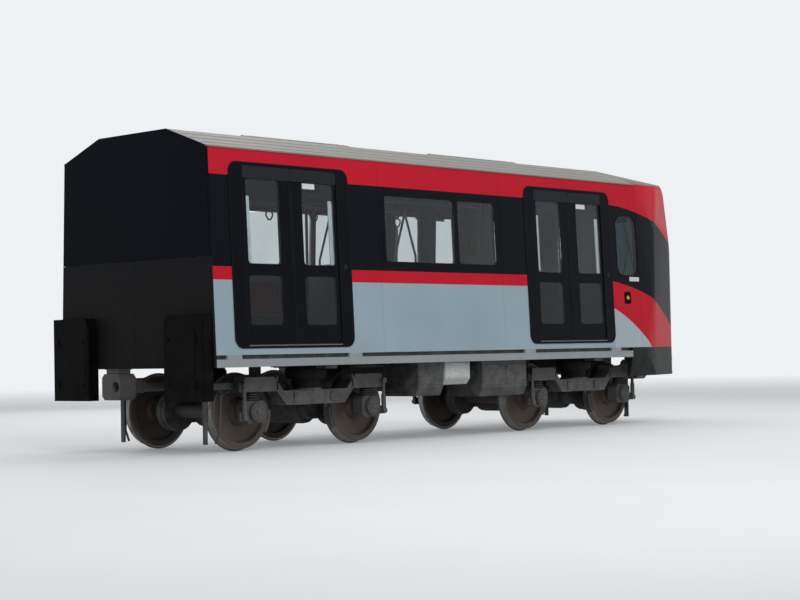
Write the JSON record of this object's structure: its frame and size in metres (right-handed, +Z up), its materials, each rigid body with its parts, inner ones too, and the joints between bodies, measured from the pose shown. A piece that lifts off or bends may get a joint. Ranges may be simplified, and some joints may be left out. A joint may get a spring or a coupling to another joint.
{
  "type": "metro car",
  "caption": "Short metro driving car with a driver's cab, double-leaf plug doors, wide windows and a chamfered roof, carried on swivelling bogies with flanged wheels.",
  "frame": {"origin": "midway between the two coupler faces, on the centre line, on the plane that the wheel flanges stand on", "axes": "+X along the car towards the cab, +Y to its left, +Z up"},
  "size_m": [10.2, 2.8, 3.738],
  "materials": {
    "side_paint": "gloss",
    "cab_paint": "gloss",
    "roof_paint": "satin",
    "end_paint_upper": "gloss",
    "end_paint_lower": "satin",
    "case_black": "satin",
    "portal_black": "gloss",
    "leaf_black": "gloss",
    "frame_black": "satin",
    "door_glass": "gloss",
    "window_glass": "gloss",
    "screen_glass": "gloss",
    "cab_glass": "gloss",
    "sole_paint": "satin",
    "skirt_black": "satin",
    "frame_steel": "satin",
    "floor_cover": "matte",
    "seat_shell": "gloss",
    "pole_steel": "satin",
    "bulkhead_laminate": "satin",
    "desk_laminate": "matte",
    "driver_seat_shell": "matte",
    "lamp_glass": "gloss",
    "case_grey": "satin",
    "case_light": "satin",
    "coupler_cast": "matte",
    "bogie_paint": "satin",
    "spring_rubber": "matte",
    "axlebox_cast": "matte",
    "motor_paint": "satin",
    "wheel_steel": "satin",
    "axle_steel": "matte"
  },
  "bodies": {
    "car_body": {"benches": "seat_shell", "bolsters": "frame_steel", "cab_bulkhead": "bulkhead_laminate", "cab_shell": "cab_paint", "cab_side_windows": "cab_glass", "door_glazing": "door_glass", "door_leaves_left": "leaf_black", "door_leaves_right": "leaf_black", "door_portals_left": "portal_black", "door_portals_right": "portal_black", "draft_boxes": "frame_steel", "driver_desk": "desk_laminate", "driver_seat": "driver_seat_shell", "floor_panel": "floor_cover", "grab_poles": "pole_steel", "headlamps": "lamp_glass", "light_cases": "case_light", "nose_skirt": "skirt_black", "rear_corner_boxes": "case_black", "rear_wall_lower": "end_paint_lower", "rear_wall_upper": "end_paint_upper", "roof_shell": "roof_paint", "roof_units": "roof_paint", "side_wall_left": "side_paint", "side_wall_right": "side_paint", "side_window_frames": "frame_black", "side_windows": "window_glass", "sole_bars": "sole_paint", "underfloor_cases": "case_grey", "underframe": "frame_steel", "windscreen": "screen_glass"},
    "bogie_rear": {"axleboxes_rear": "axlebox_cast", "bogie_frame_rear": "bogie_paint", "bogie_springs_rear": "spring_rubber", "drives_rear": "motor_paint"},
    "bogie_front": {"axleboxes_front": "axlebox_cast", "bogie_frame_front": "bogie_paint", "bogie_springs_front": "spring_rubber", "drives_front": "motor_paint"},
    "coupler_front": {"coupler_front": "coupler_cast"},
    "coupler_rear": {"coupler_rear": "coupler_cast"},
    "wheelset_rear_1": {"axle_rear_1": "axle_steel", "wheels_rear_1": "wheel_steel"},
    "wheelset_rear_2": {"axle_rear_2": "axle_steel", "wheels_rear_2": "wheel_steel"},
    "wheelset_front_1": {"axle_front_1": "axle_steel", "wheels_front_1": "wheel_steel"},
    "wheelset_front_2": {"axle_front_2": "axle_steel", "wheels_front_2": "wheel_steel"}
  },
  "joints": [
    {"name": "bogie_rear_yaw", "type": "hinge", "parent": "car_body", "child": "bogie_rear", "pos_m": [-2.9, 0, 0.605], "axis": [0, 0, 1], "range_deg": [-4, 4]},
    {"name": "bogie_front_yaw", "type": "hinge", "parent": "car_body", "child": "bogie_front", "pos_m": [2.3, 0, 0.605], "axis": [0, 0, 1], "range_deg": [-4, 4]},
    {"name": "wheelset_rear_1_roll", "type": "hinge", "parent": "bogie_rear", "child": "wheelset_rear_1", "pos_m": [-3.85, 0, 0.458], "axis": [0, 1, 0], "continuous": true},
    {"name": "wheelset_rear_2_roll", "type": "hinge", "parent": "bogie_rear", "child": "wheelset_rear_2", "pos_m": [-1.95, 0, 0.458], "axis": [0, 1, 0], "continuous": true},
    {"name": "wheelset_front_1_roll", "type": "hinge", "parent": "bogie_front", "child": "wheelset_front_1", "pos_m": [1.35, 0, 0.458], "axis": [0, 1, 0], "continuous": true},
    {"name": "wheelset_front_2_roll", "type": "hinge", "parent": "bogie_front", "child": "wheelset_front_2", "pos_m": [3.25, 0, 0.458], "axis": [0, 1, 0], "continuous": true},
    {"name": "coupler_rear_swing", "type": "hinge", "parent": "car_body", "child": "coupler_rear", "pos_m": [-4.1, 0, 0.778], "axis": [0, 0, 1], "range_deg": [-12, 12]},
    {"name": "coupler_front_swing", "type": "hinge", "parent": "car_body", "child": "coupler_front", "pos_m": [4.1, 0, 0.778], "axis": [0, 0, 1], "range_deg": [-12, 12]}
  ]
}
